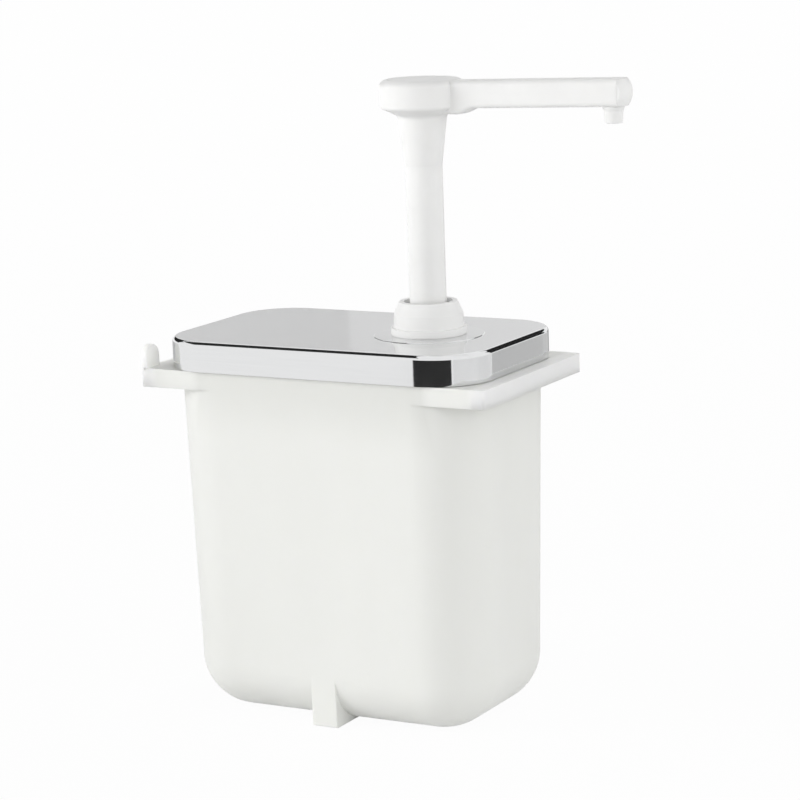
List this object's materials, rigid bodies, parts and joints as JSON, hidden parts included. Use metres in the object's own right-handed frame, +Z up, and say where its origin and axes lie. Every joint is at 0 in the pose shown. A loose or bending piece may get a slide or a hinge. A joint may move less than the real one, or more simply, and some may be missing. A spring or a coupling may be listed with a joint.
{
  "type": "sauce pump dispenser",
  "caption": "Sauce pump dispenser: translucent tapered jar with end ledges, polished steel lid and a white push-down pump with a side spout.",
  "frame": {"origin": "centre of the jar's base, on the surface that it stands on", "axes": "+Z up, +X along the jar's length towards the spout, +Y across the jar"},
  "size_m": [0.2382, 0.108, 0.3083],
  "materials": {
    "jar_plastic": "satin, translucent",
    "white_plastic": "satin",
    "polished_steel": "polished",
    "seal_rubber": "matte",
    "wire_steel": "bright"
  },
  "bodies": {
    "jar_body": {"jar": "jar_plastic"},
    "lid_unit": {"lid": "polished_steel", "collar": "white_plastic", "collar_washer": "white_plastic", "cylinder": "white_plastic", "flange_gasket": "seal_rubber", "stem_guide": "white_plastic", "stem_wiper": "seal_rubber", "valve_cup": "white_plastic", "valve_seal": "seal_rubber", "ball_cage": "white_plastic", "suction_tube": "white_plastic", "return_spring": "wire_steel"},
    "plunger": {"piston": "white_plastic", "piston_rings": "seal_rubber", "slip_washer": "white_plastic"},
    "head_unit": {"head": "white_plastic", "head_cap": "white_plastic", "nozzle": "white_plastic", "spout_plug": "white_plastic", "stem": "white_plastic", "stem_seal": "seal_rubber", "outlet_seat": "white_plastic"},
    "inlet_valve": {"inlet_ball": "wire_steel"},
    "outlet_valve": {"outlet_ball": "wire_steel"}
  },
  "joints": [
    {"name": "lid_lift", "type": "slide", "parent": "jar_body", "child": "lid_unit", "axis": [0, 0, 1], "range_m": [0, 0.2]},
    {"name": "pump_press", "type": "slide", "parent": "lid_unit", "child": "plunger", "axis": [0, 0, -1], "range_m": [0, 0.06], "stiffness_N_per_m": 180, "springref_m": -0.06, "deforming": ["return_spring"]},
    {"name": "head_swivel", "type": "hinge", "parent": "plunger", "child": "head_unit", "pos_m": [0.038, 0, 0.1745], "axis": [0, 0, 1], "continuous": true},
    {"name": "inlet_ball_lift", "type": "slide", "parent": "lid_unit", "child": "inlet_valve", "axis": [0, 0, 1], "range_m": [0, 0.003]},
    {"name": "outlet_ball_lift", "type": "slide", "parent": "head_unit", "child": "outlet_valve", "axis": [0, 0, 1], "range_m": [0, 0.003]}
  ]
}
